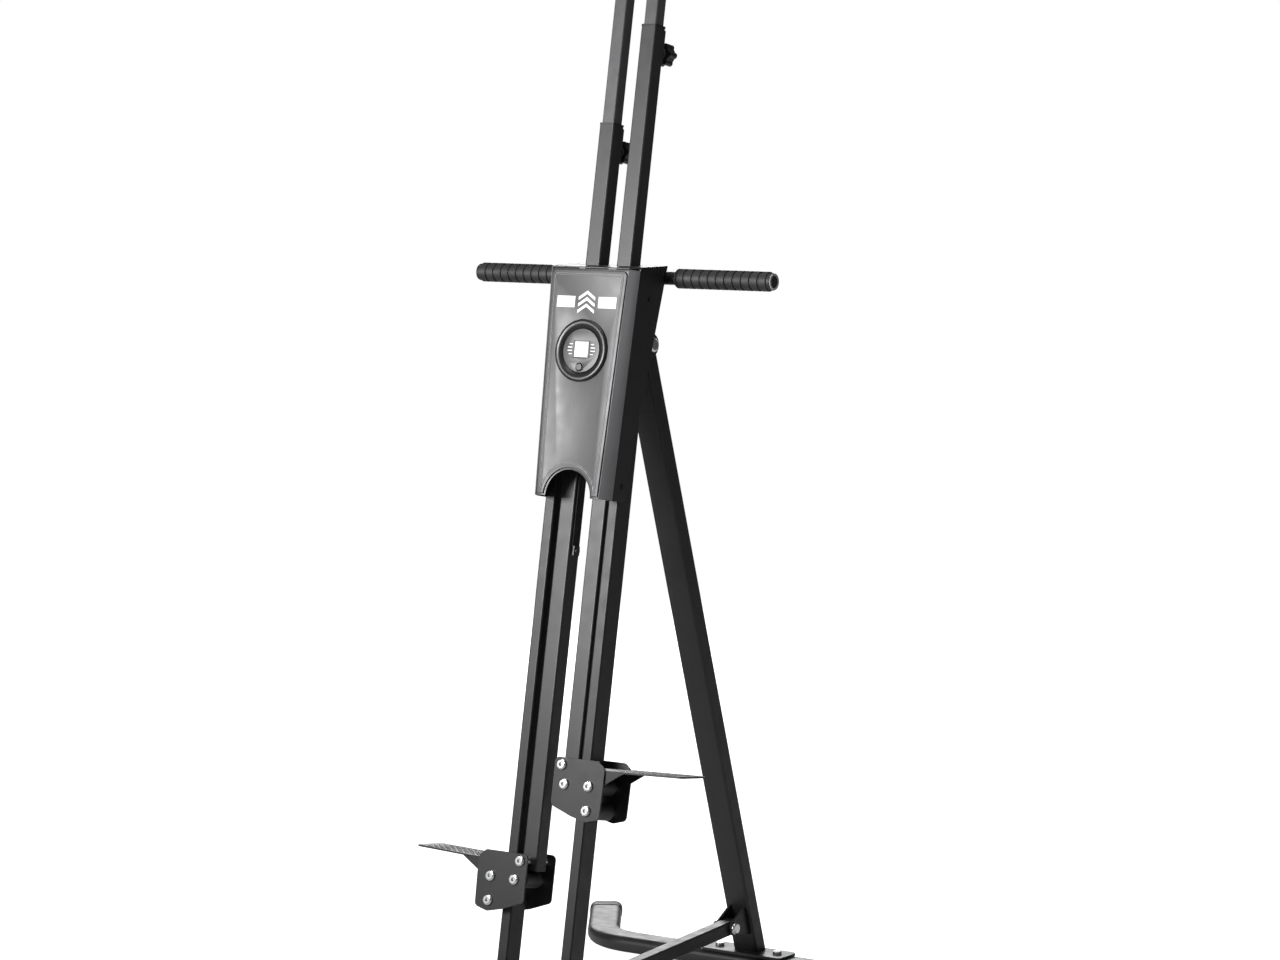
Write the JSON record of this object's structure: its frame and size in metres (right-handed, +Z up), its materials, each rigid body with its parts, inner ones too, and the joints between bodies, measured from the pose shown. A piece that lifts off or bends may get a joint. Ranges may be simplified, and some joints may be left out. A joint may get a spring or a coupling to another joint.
{
  "type": "vertical climber machine",
  "caption": "Folding vertical climber: leaning twin-rail mast, two belt-linked sliding arms with footplates and telescopic handles, console and rear leg.",
  "frame": {"origin": "on the floor, midway between the two feet (bottom centre of the bounding box)", "axes": "+Z up, +X to the machine's right, the user stands on the -Y side and faces +Y"},
  "size_m": [0.9856, 1.113, 2.1291],
  "materials": {
    "frame_steel": "satin black powder coat",
    "arm_steel": "satin black powder coat",
    "upper_steel": "semi-gloss dark grey paint",
    "plate_steel": "satin black powder coat",
    "zinc_bolts": "zinc plated",
    "chrome_bolts": "bright plated",
    "cap_plastic": "fine grained",
    "belt_webbing": "woven nylon",
    "slider_plastic": "smooth nylon",
    "grip_rubber": "ribbed",
    "grip_foam": "closed cell foam",
    "console_plastic": "satin, light grain",
    "casing_plastic": "fine grained",
    "computer_plastic": "semi gloss",
    "display": "pale display behind clear window",
    "screw_black": "blackened",
    "knob_plastic": "moulded"
  },
  "bodies": {
    "frame": {"front_foot": "frame_steel", "front_foot_caps": "cap_plastic", "front_foot_bolts": "zinc_bolts", "mast_base": "frame_steel", "catch_pin": "zinc_bolts", "rail_left": "frame_steel", "rail_right": "frame_steel", "head_plate": "frame_steel", "pulley_plate": "frame_steel", "pulley_axle": "zinc_bolts", "belt_wrap": "belt_webbing", "belt_run_left": "belt_webbing", "belt_run_right": "belt_webbing", "guide_blocks": "slider_plastic", "handlebar": "frame_steel", "handlebar_grip_left": "grip_rubber", "handlebar_grip_right": "grip_rubber", "handlebar_plugs": "cap_plastic", "handlebar_clamps": "frame_steel", "console_front_cover": "console_plastic", "console_rear_cover": "casing_plastic", "console_screws": "screw_black", "computer_bezel": "computer_plastic", "computer_case": "computer_plastic", "display_window": "display", "leg_bracket": "frame_steel", "leg_pivot_bolt": "chrome_bolts"},
    "pulley": {"belt_pulley": "slider_plastic"},
    "button": {"mode_button": "computer_plastic"},
    "rear_leg": {"rear_leg": "frame_steel", "rear_foot": "frame_steel", "rear_foot_caps": "cap_plastic", "rear_foot_bolts": "zinc_bolts", "strut_bolt": "chrome_bolts"},
    "strut": {"strut_tube": "frame_steel"},
    "arm_left": {"moving_tube_left": "arm_steel", "tube_bush_left": "slider_plastic", "carriage_front_left": "plate_steel", "carriage_back_left": "plate_steel", "carriage_fasteners_left": "chrome_bolts", "footplate_left": "plate_steel"},
    "handle_left": {"upper_tube_left": "upper_steel", "top_grip_left": "grip_foam"},
    "knob_left": {"clamp_knob_left": "knob_plastic"},
    "arm_right": {"moving_tube_right": "arm_steel", "tube_bush_right": "slider_plastic", "carriage_front_right": "plate_steel", "carriage_back_right": "plate_steel", "carriage_fasteners_right": "chrome_bolts", "footplate_right": "plate_steel"},
    "handle_right": {"upper_tube_right": "upper_steel", "top_grip_right": "grip_foam"},
    "knob_right": {"clamp_knob_right": "knob_plastic"},
    "inner_roller_left": {"inner_roller_left": "slider_plastic"},
    "upper_roller_left": {"upper_roller_left": "slider_plastic"},
    "lower_roller_left": {"lower_roller_left": "slider_plastic"},
    "inner_roller_right": {"inner_roller_right": "slider_plastic"},
    "upper_roller_right": {"upper_roller_right": "slider_plastic"},
    "lower_roller_right": {"lower_roller_right": "slider_plastic"}
  },
  "joints": [
    {"name": "left_arm_slide", "type": "slide", "parent": "frame", "child": "arm_left", "axis": [0, 0.1805, 0.9836], "range_m": [-0.14, 0.309], "deforming": ["belt_run_left"]},
    {"name": "right_arm_slide", "type": "slide", "parent": "frame", "child": "arm_right", "axis": [0, 0.1805, 0.9836], "range_m": [-0.309, 0.14], "deforming": ["belt_run_right"]},
    {"name": "pulley_spin", "type": "hinge", "parent": "frame", "child": "pulley", "pos_m": [0, -0.11067, 1.21471], "axis": [0, 0.9836, -0.1805], "continuous": true},
    {"name": "mode_button_press", "type": "slide", "parent": "frame", "child": "button", "axis": [0, 0.9836, -0.1805], "range_m": [0, 0.0015], "stiffness_N_per_m": 500},
    {"name": "inner_roller_left_spin", "type": "hinge", "parent": "arm_left", "child": "inner_roller_left", "pos_m": [-0.041, -0.28514, 0.26409], "axis": [0, 0.9836, -0.1805], "continuous": true},
    {"name": "upper_roller_left_spin", "type": "hinge", "parent": "arm_left", "child": "upper_roller_left", "pos_m": [-0.0905, -0.28496, 0.26507], "axis": [0, 0.9836, -0.1805], "continuous": true},
    {"name": "lower_roller_left_spin", "type": "hinge", "parent": "arm_left", "child": "lower_roller_left", "pos_m": [-0.0905, -0.29236, 0.22475], "axis": [0, 0.9836, -0.1805], "continuous": true},
    {"name": "left_handle_extend", "type": "slide", "parent": "arm_left", "child": "handle_left", "axis": [0, 0.1805, 0.9836], "range_m": [-0.2, 0.12]},
    {"name": "left_knob_turn", "type": "hinge", "parent": "arm_left", "child": "knob_left", "pos_m": [-0.0325, -0.04573, 1.48544], "axis": [0, 0.9836, -0.1805], "range_deg": [-720, 0]},
    {"name": "inner_roller_right_spin", "type": "hinge", "parent": "arm_right", "child": "inner_roller_right", "pos_m": [0.041, -0.25463, 0.43031], "axis": [0, 0.9836, -0.1805], "continuous": true},
    {"name": "upper_roller_right_spin", "type": "hinge", "parent": "arm_right", "child": "upper_roller_right", "pos_m": [0.0905, -0.25445, 0.4313], "axis": [0, 0.9836, -0.1805], "continuous": true},
    {"name": "lower_roller_right_spin", "type": "hinge", "parent": "arm_right", "child": "lower_roller_right", "pos_m": [0.0905, -0.26185, 0.39097], "axis": [0, 0.9836, -0.1805], "continuous": true},
    {"name": "right_handle_extend", "type": "slide", "parent": "arm_right", "child": "handle_right", "axis": [0, 0.1805, 0.9836], "range_m": [-0.2, 0.12]},
    {"name": "right_knob_turn", "type": "hinge", "parent": "arm_right", "child": "knob_right", "pos_m": [0.0325, -0.01522, 1.65166], "axis": [0, 0.9836, -0.1805], "range_deg": [-720, 0]},
    {"name": "rear_leg_fold", "type": "hinge", "parent": "frame", "child": "rear_leg", "pos_m": [0, -0.02204, 1.15473], "axis": [1, 0, 0], "range_deg": [-24, 0]},
    {"name": "strut_swing", "type": "hinge", "parent": "rear_leg", "child": "strut", "pos_m": [0, 0.25539, 0.09], "axis": [1, 0, 0], "range_deg": [-74, 0]}
  ],
  "couplings": [
    {"joint": "right_arm_slide", "follows": "left_arm_slide", "ratio": -1},
    {"joint": "pulley_spin", "follows": "left_arm_slide", "rad_per_m": 62.5},
    {"joint": "inner_roller_left_spin", "follows": "left_arm_slide", "rad_per_m": -70.422},
    {"joint": "upper_roller_left_spin", "follows": "left_arm_slide", "rad_per_m": 68.027},
    {"joint": "lower_roller_left_spin", "follows": "left_arm_slide", "rad_per_m": 68.027},
    {"joint": "inner_roller_right_spin", "follows": "left_arm_slide", "rad_per_m": -70.422},
    {"joint": "upper_roller_right_spin", "follows": "left_arm_slide", "rad_per_m": 68.027},
    {"joint": "lower_roller_right_spin", "follows": "left_arm_slide", "rad_per_m": 68.027},
    {"joint": "strut_swing", "follows": "rear_leg_fold", "ratio": 3.08}
  ]
}
